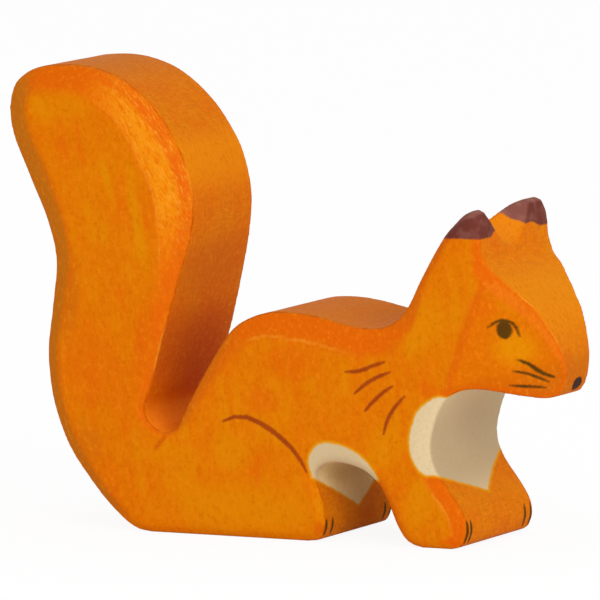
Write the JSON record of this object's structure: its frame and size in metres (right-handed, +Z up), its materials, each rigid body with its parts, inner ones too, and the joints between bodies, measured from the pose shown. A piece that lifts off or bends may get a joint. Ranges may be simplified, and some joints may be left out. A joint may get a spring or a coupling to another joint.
{
  "type": "carved wooden squirrel toy",
  "caption": "Sitting squirrel sawn and carved from one thick board, stained orange, with painted white chest and belly, dark ear tips, eyes, whiskers and claws.",
  "frame": {"origin": "middle of the bounding box, on the surface that the paws stand on", "axes": "+X is where the squirrel looks, +Y runs through the board's thickness towards its left side, +Z is up"},
  "size_m": [0.1008, 0.0308, 0.0796],
  "materials": {
    "stained_wood": "oiled orange water-colour stain, grain showing, satin",
    "white_paint": "thin warm white paint with soft brushed edges, matt",
    "brown_paint": "thin dark red-brown paint over the stain, satin",
    "umber_paint": "thin umber brush lines over the stain, satin",
    "black_paint": "thin brown-black brush marks over the stain, satin"
  },
  "bodies": {
    "root": {"carved_body": "stained_wood", "chest_patch": "white_paint", "belly_patch": "white_paint", "nose": "black_paint", "ear_tip_right": "brown_paint", "ear_tip_left": "brown_paint", "eye_right": "black_paint", "eye_left": "black_paint", "whisker_upper_right": "black_paint", "whisker_upper_left": "black_paint", "whisker_middle_right": "black_paint", "whisker_middle_left": "black_paint", "whisker_lower_right": "black_paint", "whisker_lower_left": "black_paint", "shoulder_mark_1_right": "umber_paint", "shoulder_mark_1_left": "umber_paint", "shoulder_mark_2_right": "umber_paint", "shoulder_mark_2_left": "umber_paint", "shoulder_mark_3_right": "umber_paint", "shoulder_mark_3_left": "umber_paint", "shoulder_mark_4_right": "umber_paint", "shoulder_mark_4_left": "umber_paint", "thigh_line_right": "umber_paint", "thigh_line_left": "umber_paint", "front_claw_outer_right": "black_paint", "front_claw_outer_left": "black_paint", "front_claw_inner_right": "black_paint", "front_claw_inner_left": "black_paint", "hind_claw_outer_right": "black_paint", "hind_claw_outer_left": "black_paint", "hind_claw_inner_right": "black_paint", "hind_claw_inner_left": "black_paint"}
  },
  "joints": []
}
